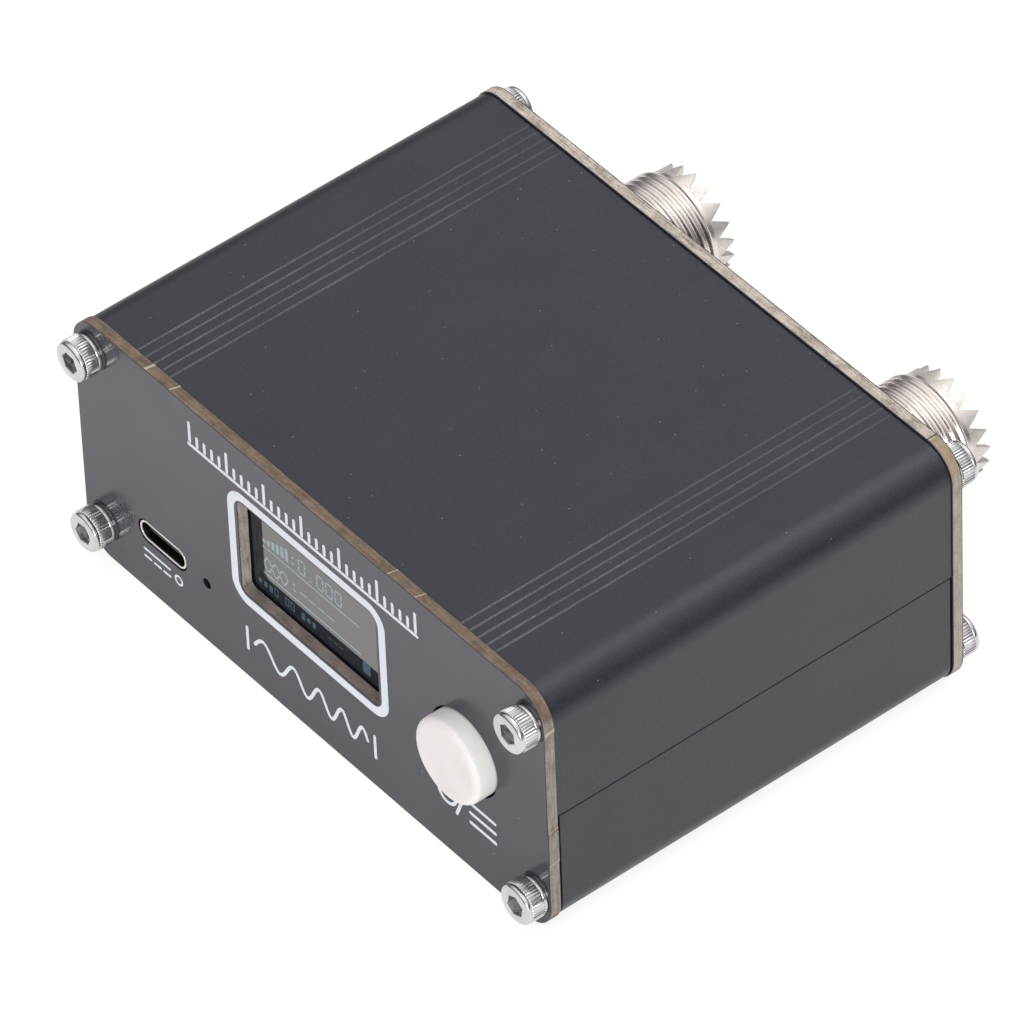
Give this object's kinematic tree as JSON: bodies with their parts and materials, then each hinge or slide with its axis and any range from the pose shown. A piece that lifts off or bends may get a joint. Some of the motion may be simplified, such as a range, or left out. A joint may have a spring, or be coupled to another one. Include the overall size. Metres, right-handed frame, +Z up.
{
  "type": "swr meter",
  "caption": "Small SWR meter: two-shell aluminium case, circuit-board end panels, display window, push button, USB-C port and threaded coaxial sockets at the rear.",
  "frame": {"origin": "middle of the bounding box's footprint, on the surface that the case stands on", "axes": "+X to the right of someone facing the display, +Y from the display to the rear sockets, +Z up"},
  "size_m": [0.088, 0.082, 0.038],
  "materials": {
    "anodised_aluminium": "matte bead-blasted, dark charcoal anodised",
    "panel_board": "satin black solder mask on a tan glass-fibre board",
    "screw_steel": "bright nickel-plated steel with a straight knurl",
    "nickel_plate": "warm nickel plating",
    "white_insulator": "white, slightly waxy",
    "contact_metal": "gold-plated brass",
    "board_green": "green solder mask",
    "board_blue": "blue solder mask",
    "black_plastic": "moulded",
    "ferrite": "fine dark ceramic",
    "enamelled_wire": "enamelled copper",
    "natural_nylon": "moulded, natural colour",
    "chip_package": "moulded epoxy",
    "diode_glass": "orange glass",
    "ceramic": "ceramic with tinned ends",
    "blue_plastic": "moulded",
    "grey_plastic": "moulded",
    "led_plastic": "clear to milky",
    "display_glass": "dark display glass, glossy",
    "flex_film": "amber film",
    "button_plastic": "off-white, satin to glossy",
    "battery_film": "aluminium laminate pouch",
    "foam": "closed-cell foam",
    "lead_red": "insulated wire"
  },
  "bodies": {
    "case": {"top_shell": "anodised_aluminium", "bottom_shell": "anodised_aluminium", "front_panel": "panel_board", "rear_panel": "panel_board", "front_screws": "screw_steel", "rear_screws": "screw_steel", "left_socket_shell": "nickel_plate", "right_socket_shell": "nickel_plate", "left_socket_insulator": "white_insulator", "right_socket_insulator": "white_insulator", "left_centre_contact": "contact_metal", "right_centre_contact": "contact_metal", "main_board": "board_green", "control_board": "board_green", "board_header": "black_plastic", "through_conductor": "contact_metal", "line_core": "ferrite", "line_winding": "enamelled_wire", "sense_conductor": "contact_metal", "sense_core": "ferrite", "sense_winding": "enamelled_wire", "core_cradles": "natural_nylon", "mcu_chip": "chip_package", "charger_chip": "chip_package", "amplifier_chip": "chip_package", "detector_diodes": "diode_glass", "capacitors": "ceramic", "trimmers": "blue_plastic", "load_resistors": "chip_package", "usb_shell": "nickel_plate", "usb_tongue": "grey_plastic", "charge_led": "led_plastic", "oled_glass": "display_glass", "oled_carrier": "board_blue", "oled_header": "black_plastic", "oled_flex": "flex_film", "switch_body": "black_plastic", "switch_cover": "screw_steel", "switch_dome": "screw_steel", "switch_pins": "screw_steel", "battery_pack": "battery_film", "battery_pad": "foam", "battery_leads": "lead_red", "battery_connector": "natural_nylon"},
    "button": {"switch_plunger": "grey_plastic", "button_cap": "button_plastic"}
  },
  "joints": [
    {"name": "button_press", "type": "slide", "parent": "case", "child": "button", "axis": [0, 1, 0], "range_m": [0, 0.0003], "stiffness_N_per_m": 5000}
  ]
}
